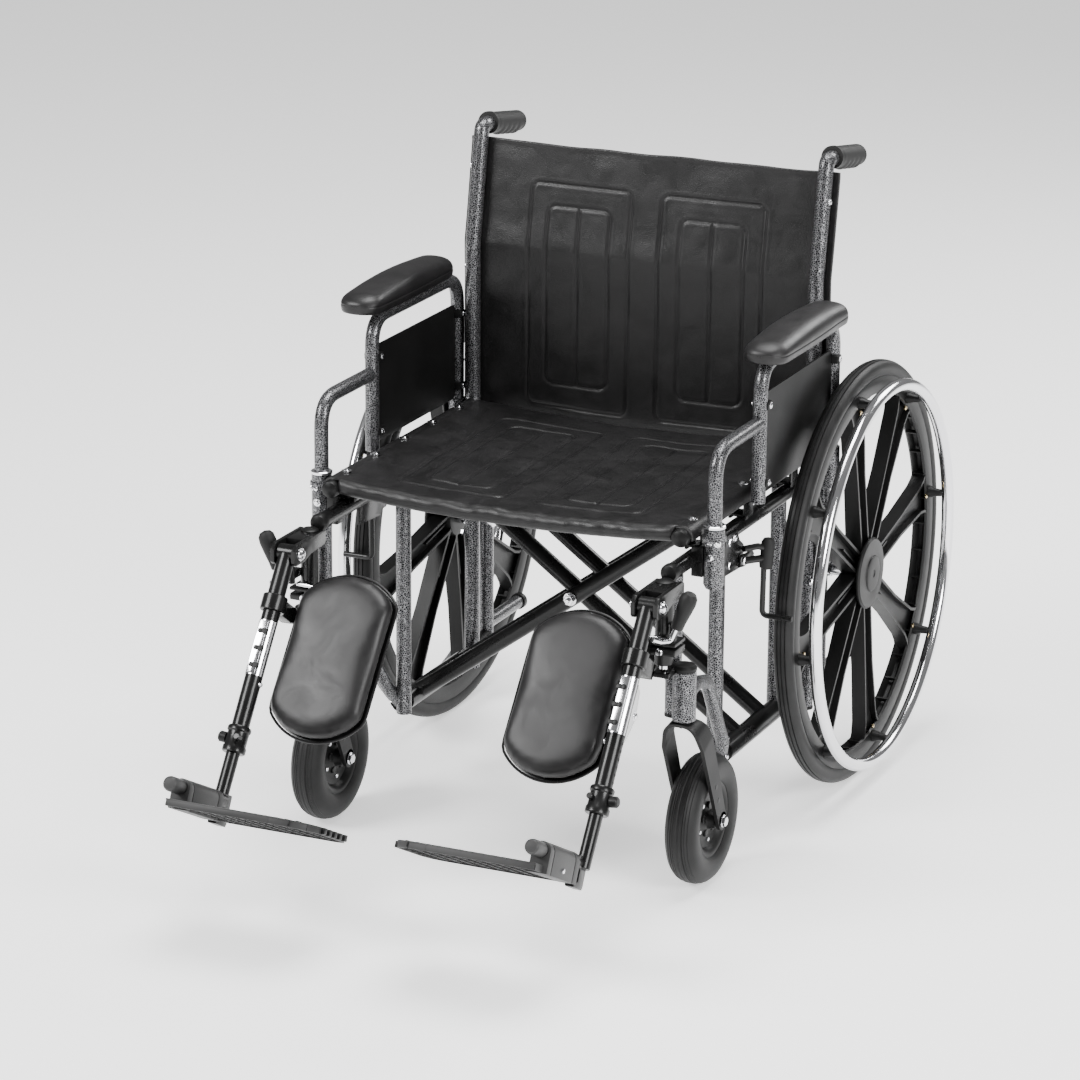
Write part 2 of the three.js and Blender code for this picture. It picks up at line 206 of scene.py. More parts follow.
def vinyl(name, value, rough, grain=420, fold=0.35, crease=1.0):
    mat, nodes, links, bsdf = material(name, grey(value), rough, shine=0.36)
    pores = texture(nodes, links, "ShaderNodeTexVoronoi", grain, Randomness=1.0)
    pores.feature = "DISTANCE_TO_EDGE"
    # Crease noise: real folds in the bump and roughness, and painted shading in the colour.
    creases_and_painted_shading = texture(nodes, links, "ShaderNodeTexNoise", 26, Detail=6.0, Roughness=0.6, Distortion=0.8)
    soft = nodes.new("ShaderNodeMath")
    soft.operation = "MULTIPLY"
    soft.inputs[1].default_value = crease
    links.new(creases_and_painted_shading.outputs["Fac"], soft.inputs[0])
    add = nodes.new("ShaderNodeMath")
    add.operation = "MULTIPLY_ADD"
    add.inputs[1].default_value = 0.35
    links.new(pores.outputs["Distance"], add.inputs[0])
    links.new(soft.outputs[0], add.inputs[2])
    # The colour follows the crease noise that also lifts the bump: painted shade darker in the folds and
    # painted highlight lighter on the ridges.
    fold_shade, light = (value * 0.8, value * 0.78, value * 0.8), (value * 1.5, value * 1.42, value * 1.48)
    shade(nodes, links, bsdf, "Base Color", creases_and_painted_shading, (0.3, fold_shade), (0.75, light))
    shade(nodes, links, bsdf, "Roughness", creases_and_painted_shading, (0.3, grey(rough - 0.05)), (0.75, grey(rough + 0.1)))
    bump(nodes, links, bsdf, add.outputs[0], fold, 0.0022)
    return mat


def tyre_rubber():
    mat, nodes, links, bsdf = material("tyre_rubber", grey(0.01), 0.5)
    dust = texture(nodes, links, "ShaderNodeTexNoise", 30, Detail=6.0)
    fine = texture(nodes, links, "ShaderNodeTexNoise", 700, Detail=3.0)
    shade(nodes, links, bsdf, "Base Color", dust, (0.35, grey(0.008)), (0.8, grey(0.018)))
    bump(nodes, links, bsdf, fine.outputs["Fac"], 0.2, 0.0004)
    return mat


VEIN = hammertone()
GLOSS = gloss_black()
CHROME = chrome()
BRASS = chrome("brass_screw", (0.75, 0.6, 0.35))
PLASTIC = plastic("moulded_plastic", 0.006, 0.42)
FORK = plastic("satin_black", 0.006, 0.5, 500)
GREY_CAP = plastic("grey_cap", 0.035, 0.45)
WHITE = plastic("white_plastic", 0.6, 0.4)
TYRE = tyre_rubber()
GRIP = plastic("grip_rubber", 0.012, 0.6, 600)
SLING = vinyl("sling_vinyl", 0.006, 0.4)
PAD = vinyl("pad_vinyl", 0.008, 0.40, 500, 0.1, 0.05)
WELT = vinyl("welt_vinyl", 0.005, 0.35, 600, 0.1)


# ---------------------------------------------------------------- shapes


def frame_at(axis):
    axis = axis.normalized()
    helper = Vector((0, 0, 1)) if abs(axis.z) < 0.9 else X_AXIS
    u = axis.cross(helper).normalized()
    return axis, u, axis.cross(u)


def rounded(points, bend, steps=8):
    """Corner points with each corner rounded to the bend radius."""
    points = [Vector(p) for p in points]
    path = [points[0]]
    for i in range(1, len(points) - 1):
        into = (points[i] - points[i - 1]).normalized()
        out = (points[i + 1] - points[i]).normalized()
        turn = into.angle(out)
        if turn < 0.01:
            path.append(points[i])
            continue
        room = min((points[i] - points[i - 1]).length, (points[i + 1] - points[i]).length) * 0.49
        cut = min(bend * math.tan(turn / 2), room)
        start = points[i] - into * cut
        end = points[i] + out * cut
        for k in range(steps + 1):
            t = k / steps
            path.append(start.lerp(points[i], t).lerp(points[i].lerp(end, t), t))
    path.append(points[-1])
    return path


class Shape:
    """Collects closed surfaces in millimetres, mirrored across the chair when side is -1."""

    def __init__(self, side=1):
        self.bm = bmesh.new()
        self.side = side
        self.mats = []
        self.index = 0

    def use(self, mat):
        if mat not in self.mats:
            self.mats.append(mat)
        self.index = self.mats.index(mat)
        return self

    def rings(self, rings, loop=False, caps=True):
        """Skins a list of equal rings of points."""
        made = [[self.bm.verts.new(W(p[0] * self.side, p[1], p[2])) for p in ring] for ring in rings]
        count = len(made[0])
        pairs = list(zip(made, made[1:])) + ([(made[-1], made[0])] if loop else [])
        faces = []
        for a, b in pairs:
            for i in range(count):
                j = (i + 1) % count
                faces.append(self.bm.faces.new((a[i], a[j], b[j], b[i])))
        if caps and not loop:
            faces.append(self.bm.faces.new(list(reversed(made[0]))))
            faces.append(self.bm.faces.new(made[-1]))
        for face in faces:
            face.material_index = self.index
            face.smooth = True
        bmesh.ops.recalc_face_normals(self.bm, faces=faces)
        return self

    def tube(self, points, radius, bend=25, sides=20):
        path = rounded(points, bend)
        tangents = []
        for i in range(len(path)):
            a = path[max(i - 1, 0)]
            b = path[min(i + 1, len(path) - 1)]
            tangents.append((b - a).normalized())
        _, u, _ = frame_at(tangents[0])
        rings = []
        for i, p in enumerate(path):
            u = (u - tangents[i] * u.dot(tangents[i])).normalized()
            v = tangents[i].cross(u)
            r = radius(i / (len(path) - 1)) if callable(radius) else radius
            rings.append([p + (u * math.cos(a) + v * math.sin(a)) * r
                          for a in (2 * math.pi * k / sides for k in range(sides))])
        return self.rings(rings)

    def turned(self, profile, origin, axis, steps=32, loop=False):
        """Turns [radius, distance along the axis] pairs round the axis."""
        axis, u, v = frame_at(Vector(axis))
        origin = Vector(origin)
        rings = []
        for r, h in profile:
            r = max(r, 0.05)
            rings.append([origin + axis * h + (u * math.cos(a) + v * math.sin(a)) * r
                          for a in (2 * math.pi * k / steps for k in range(steps))])
        return self.rings(rings, loop=loop)

    def rod(self, a, b, radius, edge=0.8, steps=20):
        a, b = Vector(a), Vector(b)
        length = (b - a).length
        edge = min(edge, radius * 0.5, length * 0.4)
        return self.turned([(radius - edge, 0), (radius, edge), (radius, length - edge),
                            (radius - edge, length)], a, b - a, steps)

    def prism(self, outline, depth, edge=0.8):
        """Extrudes a closed outline of points along a vector, with rounded edges."""
        part = bmesh.new()
        base = [part.verts.new(Vector(p)) for p in outline]
        top = [part.verts.new(Vector(p) + Vector(depth)) for p in outline]
        part.faces.new(list(reversed(base)))
        part.faces.new(top)
        for i in range(len(base)):
            j = (i + 1) % len(base)
            part.faces.new((base[i], base[j], top[j], top[i]))
        bmesh.ops.recalc_face_normals(part, faces=part.faces[:])
        if edge:
            sharp = [e for e in part.edges if len(e.link_faces) == 2 and e.calc_face_angle(0) > 0.6]
            bmesh.ops.bevel(part, geom=sharp, offset=edge, segments=2, affect="EDGES", profile=0.6)
        found = {}
        for v in part.verts:
            found[v] = self.bm.verts.new(W(v.co.x * self.side, v.co.y, v.co.z))
        faces = []
        for f in part.faces:
            face = self.bm.faces.new([found[v] for v in f.verts])
            face.material_index = self.index
            face.smooth = True
            faces.append(face)
        part.free()
        bmesh.ops.recalc_face_normals(self.bm, faces=faces)
        return self

    def box(self, x0, x1, y0, y1, z0, z1, edge=1.0):
        return self.prism([(x0, y0, z0), (x0, y1, z0), (x0, y1, z1), (x0, y0, z1)], (x1 - x0, 0, 0), edge)

    def leg_plate(self, outline, x0, x1, edge=0.8):
        return self.prism([leg(x0, s, t) for s, t in outline], (x1 - x0, 0, 0), edge)

    def foot_plate(self, outline, x0, x1, edge=0.8):
        return self.prism([foot(x0, f, d) for f, d in outline], (x1 - x0, 0, 0), edge)

    def bolt(self, at, axis, radius=5, height=3.5):
        """A domed washer-faced bolt head."""
        self.turned([(radius * 1.35, 0), (radius * 1.35, 0.9), (radius, 1.1), (radius * 0.95, height * 0.7),
                     (radius * 0.6, height), (0, height * 1.05)], at, axis, 16)
        return self

    def hexagon(self, at, axis, radius=6, height=4):
        self.turned([(radius, 0), (radius, height - 0.8), (radius * 0.85, height)], at, axis, 6)
        return self

    def done(self, name, body, slot, replaces=(), smooth=35):
        mesh = bpy.data.meshes.new(name)
        self.bm.to_mesh(mesh)
        self.bm.free()
        for mat in self.mats:
            mesh.materials.append(mat)
        mesh.set_sharp_from_angle(angle=math.radians(smooth))
        obj = bpy.data.objects.new(name, mesh)
        bpy.context.scene.collection.objects.link(obj)
        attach(obj, body)
        if replaces:
            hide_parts(*replaces)
        return obj


def ring_angle(i, offset=10.5):
    return math.radians(offset + 45 * i)


# ---------------------------------------------------------------- one side of the chair


def side_frame(k, end):
    body = "side_" + end
    s = Shape(k).use(VEIN)
    s.tube([(259, -533, 254), (259, -533, 447)], 11)
    s.tube([(238, -331, 112), (238, -331, 450)], 11)
    s.tube([(238, -104, 110), (238, -104, 450)], 11)
    s.tube([(264, -30, UPPER_RAIL_Z), (264, 0, UPPER_RAIL_Z), (264, 0, 108)], 11, 24)
    s.tube([(*CANE, 108), (*CANE, 500)], 11)
    s.tube([(281, -540, 283), (270, -480, 282), (266, -432, 268), (256, -345, 150), (246, -326, 124)],
           9.5, 22)
    s.turned([(14, 0), (16, 1.5), (16, 69.5), (14.5, 71)], (*STEM, 252), (0, 0, 1), 32)
    s.box(258, 281, -549, -534, 262, 314, 2)
    s.turned([(5, 0), (11, 2), (14, 8), (14, 66), (16, 68), (16, 74), (14, 75), (14, 84), (12.5, 85)],
             (ARM_X, -477, 415), (0, 0, 1), 28)
    s.turned([(12, 0), (13, 1), (13, 59), (11.5, 60)], (ARM_X, -44, 440), (0, 0, 1), 28)
    s.tube([(264, 2, 142), (264, 118, 142)], 10)
    s.done("side_tubes_" + end, body, "frame", ["side_frame_" + end])

    s = Shape(k).use(GLOSS)
    low_x, low_z = LOWER_RAIL
    s.tube([(258, -545, UPPER_RAIL_Z), (263.6, -26, UPPER_RAIL_Z)], 11)
    s.tube([(low_x, -334, low_z), (low_x, -120, low_z), (262, -8, low_z)], 11, 40)
    s.prism([(262, -487, 432), (262, -467, 432), (262, -467, 474), (262, -487, 474)], (17, 0, 0), 2)
    s.box(264, 283, -54, -34, 446, 466, 2)
    s.box(250, 274, -586, -531, 320, 327, 1.5)
    s.box(236, 262, -337, -325, 438, 456, 2)
    s.box(236, 262, -110, -98, 438, 456, 2)
    for y in (-455, -300, -130):
        s.prism([(245, y - 14, 462), (245, y + 14, 462), (245, y + 14, 476), (245, y - 14, 476)],
                (4, 0, 0), 1)
        s.box(246, 271, y - 14, y + 14, 465.5, 469, 1)
        s.prism([(266.5, y - 14, 462), (266.5, y + 14, 462), (266.5, y + 14, 484), (266.5, y - 14, 484)],
                (4, 0, 0), 1)
    s.use(PLASTIC)
    s.turned(END_CAP, (258, -545, UPPER_RAIL_Z), (0, -1, 0), 28)
    s.turned([(15.4, 0), (16.6, 1), (16.6, 5), (14, 8.5), (7, 10.5), (0, 11)], (*STEM, 322), (0, 0, 1), 32)
    s.turned([(11.3, 0), (12.4, 1), (12.4, 9), (9, 12), (0, 12.6)], (264, 112, 142), (0, 1, 0), 24)
    s.turned(FOOT_PLUG, (*CANE, 110), (0, 0, -1), 20)
    s.turned(FOOT_PLUG, (259, -533, 256), (0, 0, -1), 20)
    s.done("side_rails_" + end, body, "black_metal")

    s = Shape(k).use(CHROME)
    s.bolt((ARM_X, -491, 462), (0, -1, 0), 4, 4)
    s.bolt((ARM_X + 9, -488, 482), (0.6, -1, 0), 3.5, 4)
    s.turned([(13.6, 0), (15, 0.8), (15, 4), (13.6, 5)], (ARM_X, -477, 500), (0, 0, 1), 28)
    s.turned([(8, 0), (11, 0.5), (11, 3), (8, 3.6)], (*STEM, 248.4), (0, 0, 1), 24)
    for y, z in ((-331, 446), (-104, 446), (-331, 124), (-120, 124)):
        s.bolt((249 if z > 200 else 256, y, z + (6 if z > 200 else 0)), (1, 0, 0), 4)
    s.turned([(2.5, 0), (3.6, 1), (3.6, 6), (2.4, 8), (0, 9)], (255, -510, 303), (0.4, -1, 0), 12)
    s.bolt((303, -44, 545), (1, 0, 0), 4)
    s.hexagon((272, -60, 300), (1, 0, 0), 5)
    s.done("side_fixings_" + end, body, "chrome")

    s = Shape(k).use(VEIN)
    s.tube([(*CANE, 466), (*CANE, CANE_BEND), (264, -22, 884), (264, -18, 901), (264, 8, 900)], 11, 26, 24)
    s.done("cane_" + end, body, "frame", ["back_cane_" + end])
    s = Shape(k).use(CHROME)
    for z in (560, 700, 845):
        s.bolt((274, cane_y(z), z), (1, 0, 0), 4, 3)
    s.done("cane_screws_" + end, body, "chrome")

    push_grip(k, end)
    axle(k, end)


def push_grip(k, end):
    start, stop = Vector((264, 2, 901.5)), Vector((264, 107, 885))
    axis, u, v = frame_at(stop - start)
    down = Vector((0, 0, -1))
    rings = []
    count = 64
    for i in range(count + 1):
        d = i / count * (stop - start).length
        base = 15.2
        if d < 9:
            base = 16.2
        elif d < 11.5:
            base = 14.2
        elif d > 100:
            base = 15.2 * math.sqrt(max(0.02, 1 - ((d - 100) / 7) ** 2))
        centre = start + axis * d
        ring = []
        for n in range(32):
            a = 2 * math.pi * n / 32
            out = u * math.cos(a) + v * math.sin(a)
            under = max(0.0, out.dot(down)) ** 1.5
            ridge = 0
            if 22 < d < 90:
                ridge = 3.4 * under * abs(math.sin(math.pi * (d - 22) / 17)) ** 1.4
            fine = 0.35 if 20 < d < 96 and n % 2 == 0 and under < 0.2 else 0
            ring.append(centre + out * (base + ridge - fine))
        rings.append(ring)
    s = Shape(k).use(GRIP)
    s.rings(rings)
    s.done("hand_grip_" + end, "side_" + end, "grip", ["push_grip_" + end], 50)


def axle(k, end):
    s = Shape(k).use(CHROME)
    centre = (274, 0, AXLE_Z)
    s.turned([(9, -24), (12, -23), (12, -16), (11.5, -15)], centre, X_AXIS, 6)
    s.turned([(11, 0), (12.5, 1), (12.5, 8), (10.5, 9), (10.5, 22), (12, 23), (12, 32), (8, 33.5), (7.5, 34),
              (7.5, 62)], centre, X_AXIS, 28)
    s.done("axle_spacer_" + end, "side_" + end, "chrome", ["rear_axle_" + end])


def rear_wheel(k, end):
    body = "rear_wheel_" + end
    hub = (WHEEL_X, 0, AXLE_Z)
    s = Shape(k).use(PLASTIC)
    s.turned([(283, -12), (283, 12), (276, 13.4), (266, 12.4), (260, 11), (258.4, 8), (262, 5), (267, 2.6),
              (267, -2.6), (262, -5), (258.4, -8), (260, -11), (266, -12.4), (276, -13.4)],
             hub, X_AXIS, 120, True)
    s.turned([(24, -14), (30, -13), (34, -6), (34, 10), (50, 14), (51.5, 16), (51.5, 18), (49, 20.5),
              (28, 21.8), (26.5, 21.4), (25, 23.2), (22, 24), (6, 23.6), (5, 22.8), (0, 22.6)],
             hub, X_AXIS, 64)
    s.turned([(9, -14.5), (24, -14), (24, 0), (9, 0)], hub, X_AXIS, 40, True)
    for i in range(8):
        a = ring_angle(i)
        c, n = math.cos(a), math.sin(a)

        def at(x, r, w):
            return (WHEEL_X + x, r * c - w * n, AXLE_Z + r * n + w * c)

        web = [at(-1.8, 26, -13), at(-1.8, 150, -14), at(-1.8, 240, -21), at(-1.8, 264, -30),
               at(-1.8, 264, 30), at(-1.8, 240, 21), at(-1.8, 150, 14), at(-1.8, 26, 13)]
        s.prism(web, (3.6, 0, 0), 0)
        for w in (-1, 1):
            path = [(26, 13 * w), (150, 14 * w), (236, 20 * w), (252, 25 * w), (264, 34 * w)]
            rings = []
            for r, off in path:
                half = 12.5 if r < 60 else 10.5
                inner = off - 2.1 * w
                outer = off + 2.1 * w
                rings.append([at(-half, r, inner), at(half, r, inner), at(half, r, outer),
                              at(-half, r, outer)])
            s.rings(rings)
        s.rings([[at(-7, r, -1.2), at(7, r, -1.2), at(7, r, 1.2), at(-7, r, 1.2)] for r in (34, 100)])
    for i in range(40):
        a = 2 * math.pi * i / 40
        c, n = math.cos(a), math.sin(a)
        rings = []
        for x in (-9, 9):
            rings.append([(WHEEL_X + x, r * c - w * n, AXLE_Z + r * n + w * c)
                          for r, w in ((257, -1.1), (257, 1.1), (263, 1.1), (263, -1.1))])
        s.rings(rings)
    s.done("spoked_wheel_" + end, body, "plastic", ["mag_wheel_" + end])

    profile = [(283.2, -11.5), (286, -13), (292, -14), (297, -13.2), (300.5, -11.2), (302.6, -8.6),
               (303.6, -6.5), (302.4, -6), (302.4, -5.2), (304.4, -4.8), (304.8, -1.2), (303.4, -0.7),
               (303.4, 0.7), (304.8, 1.2), (304.4, 4.8), (302.4, 5.2), (302.4, 6), (303.6, 6.5),
               (302.6, 8.6), (300.5, 11.2), (297, 13.2), (292, 14), (286, 13), (283.2, 11.5)]
    s = Shape(k).use(TYRE)
    s.turned(profile, hub, X_AXIS, 144, True)
    s.done("wheel_tyre_" + end, body, "tyre", ["rear_tyre_" + end], 55)

    s = Shape(k).use(CHROME)
    ring = [(273 + 9 * math.cos(a), 9 * math.sin(a)) for a in (2 * math.pi * n / 24 for n in range(24))]
    s.turned(ring, (361, 0, AXLE_Z), X_AXIS, 144, True)
    s.use(PLASTIC)
    for i in range(8):
        a = ring_angle(i)
        c, n = math.cos(a), math.sin(a)
        at = Vector((0, 268 * c, 268 * n + AXLE_Z))
        s.turned([(9, 333), (8, 340), (6, 345), (5.5, 352), (4, 355)], at, X_AXIS, 16)
    s.use(BRASS)
    for i in range(8):
        a = ring_angle(i)
        at = Vector((334.4, 252 * math.cos(a), 252 * math.sin(a) + AXLE_Z))
        s.turned([(0.3, -1), (3.4, -1), (3.4, 1.2), (2.2, 2.2), (0, 2.4)], at, X_AXIS, 12)
    s.done("push_ring_" + end, body, "chrome", ["handrim_" + end])


def caster(k, end):
    sx, sy = STEM
    cy, cz = CASTER
    up = Vector((0, sy - cy, 249 - cz))
    height = up.length
    up = up.normalized()
    wide = Vector((0, up.z, -up.y))
    outline = rounded([(-28, 0, 0), (-28, height - 34, 0), (-20, height, 0), (20, height, 0),
                       (28, height - 34, 0), (28, 0, 0)], 26, 10)
    s = Shape(k).use(FORK)
    rings = []
    for i, p in enumerate(outline):
        a = outline[max(i - 1, 0)]
        b = outline[min(i + 1, len(outline) - 1)]
        t = (b - a).normalized()
        n = Vector((t.y, -t.x, 0))
        f = p.y / height
        half = 13 + 4 * min(f * 1.6, 1)
        flat = max(0.0, (f - 0.86) / 0.14)
        w = wide.lerp(Vector((0, 1, 0)), flat).normalized()
        middle = Vector((sx + p.x, cy, cz)) + up * p.y
        off = Vector((n.x * 2.5, 0, 0)) + up * (n.y * 2.5)
        rings.append([middle + off - w * half, middle + off + w * half, middle - off + w * half,
                      middle - off - w * half])
    s.rings(rings)
    for side in (-1, 1):
        s.turned([(12.9, -2.5), (13, -2.4), (13, 2.4), (12.9, 2.5)], (sx + 28 * side, cy, cz), X_AXIS, 36)
    s.use(GREY_CAP)
    s.rod((sx, sy, 246), (sx, sy, 300), 6.2)
    s.use(PLASTIC)
    for d in (38, 62):
        for side in (-1, 1):
            at = Vector((sx + 30.45 * side, cy, cz)) + up * d
            s.turned([(3.8, 0), (3.8, 0.4), (0, 0.45)], at, X_AXIS * side, 16)
    s.use(CHROME)
    s.rod((sx - 33, cy, cz), (sx + 33, cy, cz), 4.6)
    for side in (-1, 1):
        s.turned([(8.6, 0), (8.6, 1.1), (8, 1.2)], (sx + 30.5 * side, cy, cz), X_AXIS * side, 24)
        s.hexagon((sx + 31.6 * side, cy, cz), X_AXIS * side, 7.5, 4.4)
    s.turned([(7, 0), (7, 3.6), (6, 4.4)], (sx, sy, 242), (0, 0, 1), 6)
    s.done("caster_bracket_" + end, "caster_fork_" + end, "black_metal", ["caster_fork_" + end])

    centre = (sx, cy, cz)
    s = Shape(k).use(PLASTIC)
    for side in (-1, 1):
        s.turned([(5.9, 0), (5.9, 24), (9, 24), (11.5, 22), (12.5, 15), (14, 12), (24, 9), (34, 7),
                  (40, 8.5), (43, 13), (46, 15.5), (50, 17), (52.3, 17), (52.3, 0)],
                 centre, X_AXIS * side, 64)
        for i in range(5):
            a = math.radians(20 + 72 * i)
            at = Vector(centre) + Vector((0, math.cos(a) * 20, math.sin(a) * 20)) + X_AXIS * side * 9.5
            s.turned([(5.2, -1), (5.2, 2), (4.4, 2.8), (0, 3)], at, X_AXIS * side, 16)
    s.use(CHROME)
    for side in (-1, 1):
        for i in range(5):
            a = math.radians(56 + 72 * i)
            at = Vector(centre) + Vector((0, math.cos(a) * 30, math.sin(a) * 30)) + X_AXIS * side * 7.4
            s.turned([(3.2, 0), (3.2, 2.4), (2.4, 3)], at, X_AXIS * side, 6)
    s.done("caster_hub_" + end, "caster_wheel_" + end, "plastic", ["caster_rim_" + end])
    half = [(52.4, 0), (52.4, 17.5), (56, 20), (62, 22.2), (70, 23), (77, 22), (82, 19.4), (85.6, 15.5),
            (86.4, 14.6), (86, 13.6), (87.6, 11.6), (88.3, 10.8), (87.5, 10), (89, 7.6), (88.4, 7),
            (88.4, 6.2), (89.7, 5.4), (89.9, 2), (89.1, 1.4), (89.1, 0)]
    profile = half + [(r, -x) for r, x in reversed(half[1:-1])]
    s = Shape(k).use(TYRE)
    s.turned(profile, centre, X_AXIS, 96, True)
    s.done("caster_tread_" + end, "caster_wheel_" + end, "tyre", ["caster_tyre_" + end], 55)


def wheel_lock(k, end):
    s = Shape(k).use(GLOSS)
    s.prism([(271.5, -402, 407), (271.5, -336, 403), (271.5, -330, 408), (271.5, -330, 434),
             (271.5, -345, 444), (271.5, -356, 462), (271.5, -394, 462), (271.5, -402, 440)], (4, 0, 0), 1.2)
    s.use(CHROME)
    s.hexagon((275.5, -388, 452), X_AXIS, 5.5)
    s.hexagon((275.5, -388, 420), X_AXIS, 5.5)
    s.bolt((275.5, -366, 452), X_AXIS, 4.4)
    s.done("lock_plate_" + end, "side_" + end, "black_metal", ["wheel_lock_bracket_" + end])
    s = Shape(k).use(GLOSS)
    s.prism([(277, -356, 408), (277, -340, 405), (277, -306, 407), (277, -303, 414), (277, -310, 420),
             (277, -350, 423)], (3.5, 0, 0), 1)
    s.tube([(279, -340, 430), (292, -320, 430), (300, -311, 426)], 4.5, 8)
    s.tube([(279, -345, 414), (299, -311, 412)], 5)
    s.tube([(298, -312, 405), (297, -312.5, 330), (341, -312.5, 330)], 4, 9)
    s.use(CHROME)
    s.hexagon((280.5, -345, 415), X_AXIS, 6)
    s.use(GRIP)
    s.turned([(5, 0), (8.5, 2), (9.6, 8), (9, 18), (9.8, 30), (9.4, 38), (6.5, 43), (0, 45)],
             (300, -311, 396), (0.05, 0.1, 1), 28)
    s.done("lock_lever_" + end, "wheel_lock_" + end, "chrome", ["wheel_lock_lever_" + end])


def armrest(k, end):
    body = "armrest_" + end
    s = Shape(k).use(VEIN)
    s.tube([(ARM_X, -477, 425), (ARM_X, -477, 604), (ARM_X, -330, 604)], 10, 42)
    s.tube([(ARM_X, -321, 492), (ARM_X, -321, 682), (ARM_X, -44, 682), (ARM_X, -44, 445)], 10, 42)
    s.done("arm_tubes_" + end, body, "frame", ["arm_frame_" + end])

    outline = []
    for cy, cz, a0 in ((-62, 635, 0), (-303, 635, 90), (-303, 508, 180), (-62, 508, 270)):
        for i in range(5):
            a = math.radians(a0 + 22.5 * i)
            outline.append((ARM_X - 1.5, cy + 7 * math.cos(a), cz + 7 * math.sin(a)))
    s = Shape(k).use(PLASTIC)
    s.prism(outline, (3, 0, 0), 0.7)
    for z in (628, 520):
        for y in (-314, -50):
            s.box(ARM_X - 12.4, ARM_X + 12.4, y - 8, y + 8, z - 6, z + 6, 3)
    s.use(CHROME)
    for z in (628, 520):
        for y in (-314, -50):
            s.bolt((ARM_X + 12.2, y, z), X_AXIS, 3.4, 2.6)
            s.bolt((ARM_X - 12.2, y, z), -X_AXIS, 3.4, 2.6)
    s.done("arm_panel_" + end, body, "plastic", ["side_panel_" + end])

    front, back, mid = -354, -78, 302
    rings = []
    count = 44
    for i in range(count + 1):
        f = 0.5 - 0.5 * math.cos(math.pi * i / count)
        y = front + (back - front) * f
        edge = min(f, 1 - f) * (back - front)
        nose = math.sqrt(max(0.0, 1 - (1 - min(edge / 26, 1)) ** 2))
        half = 6 + 24 * nose + 2.5 * math.sin(math.pi * min(f * 1.25, 1))
        crown = 10 + 17 * nose + 8 * math.sin(math.pi * min(max(f, 0.02), 0.98)) + 3 * f
        low = 692 + 3 * (1 - nose)
        outline = [(half - 4, 0), (half - 1, 2), (half, 9), (half + 0.4, 11.2), (half - 0.8, 12.4),
                   (half + 0.2, 14), (half - 0.6, crown * 0.62), (half * 0.84, crown * 0.83),
                   (half * 0.55, crown * 0.955), (half * 0.2, crown)]
        rings.append([(mid - w, y, low + h) for w, h in outline]
                     + [(mid + w, y, low + h) for w, h in reversed(outline)])
    s = Shape(k).use(PAD)
    s.rings(rings)
    pad = s.done("arm_cushion_" + end, body, "vinyl", ["arm_pad_" + end], 60)
    sub = pad.modifiers.new("smooth", "SUBSURF")
    sub.levels = sub.render_levels = 1

    s = Shape(k).use(CHROME)
    s.turned([(3.4, 0), (3.4, 3), (2.6, 4.6), (0, 5.4)], (ARM_X, -490.6, 482), (0, -1, 0), 20)
    s.done("button_" + end, "arm_button_" + end, "chrome", ["arm_button_" + end])


def hanger_parts(k, end):
    px, py = PIN
    s = Shape(k).use(CHROME)
    s.rod((px, py, 328.5), (px, py, 436), 6)
    s.done("swing_pin_" + end, "hanger_pin_" + end, "chrome", ["hanger_pin_" + end])

    s = Shape(k).use(GLOSS)
    s.turned([(11.5, 0), (12.5, 1), (12.5, 112), (11, 114), (0, 114.4)], (px, py, 336), (0, 0, 1), 28)
    outline = [(-648, 424), (-644, 420), (-620, 420), (-600, 426), (-560, 428), (-556, 432), (-556, 446),
               (-562, 449), (-600, 449), (-640, 449), (-648, 442)]
    s.prism([(244, y, z) for y, z in outline], (6.3, 0, 0), 1.4)
    s.prism([(275.7, y, z) for y, z in outline], (6.3, 0, 0), 1.4)
    s.box(247, 279, -612, -560, 428, 448, 3)
    s.box(243, 284, -590, -554, 352, 362, 3)
    s.box(243, 284, -590, -554, 366, 371, 2)
    s.prism([(236, -600, 350), (236, -574, 350), (236, -560, 366), (236, -600, 366)], (12, 0, 0), 2)
    s.use(CHROME)
    for side, x in ((1, 282), (-1, 244)):
        s.turned([(9, 0), (9, 1.3), (7, 1.6), (6.4, 4.6), (4, 6.2), (0, 6.6)], (x, *LEG_PIVOT),
                 X_AXIS * side, 24)
    s.turned([(5, 0), (5, 3), (4, 4.4), (0, 5)], (262, -590, 358), (0, -1, 0), 16)
    s.turned([(3, 0), (3, 36), (2, 37)], (236, -592, 376), (1, 0.1, 0), 16)
    s.use(PLASTIC)
    s.turned([(10.6, 0), (12.2, 1), (12.2, 4), (9, 6), (0, 6.6)], (px, py, 446), (0, 0, 1), 28)
    s.done("hanger_body_" + end, "hanger_" + end, "black_metal", ["hanger_" + end])

    s = Shape(k).use(GLOSS)
    s.prism([(275.2, -590, 382), (284, -590, 382), (284, -570, 382), (275.2, -570, 382)], (0, 0, 12), 1.5)
    s.turned([(4, 0), (5, 1), (5, 23), (4, 24)], (280, -590, 376), (0, 0, 1), 20)
    s.done("latch_tab_" + end, "hanger_latch_" + end, "black_metal", ["hanger_latch_" + end])


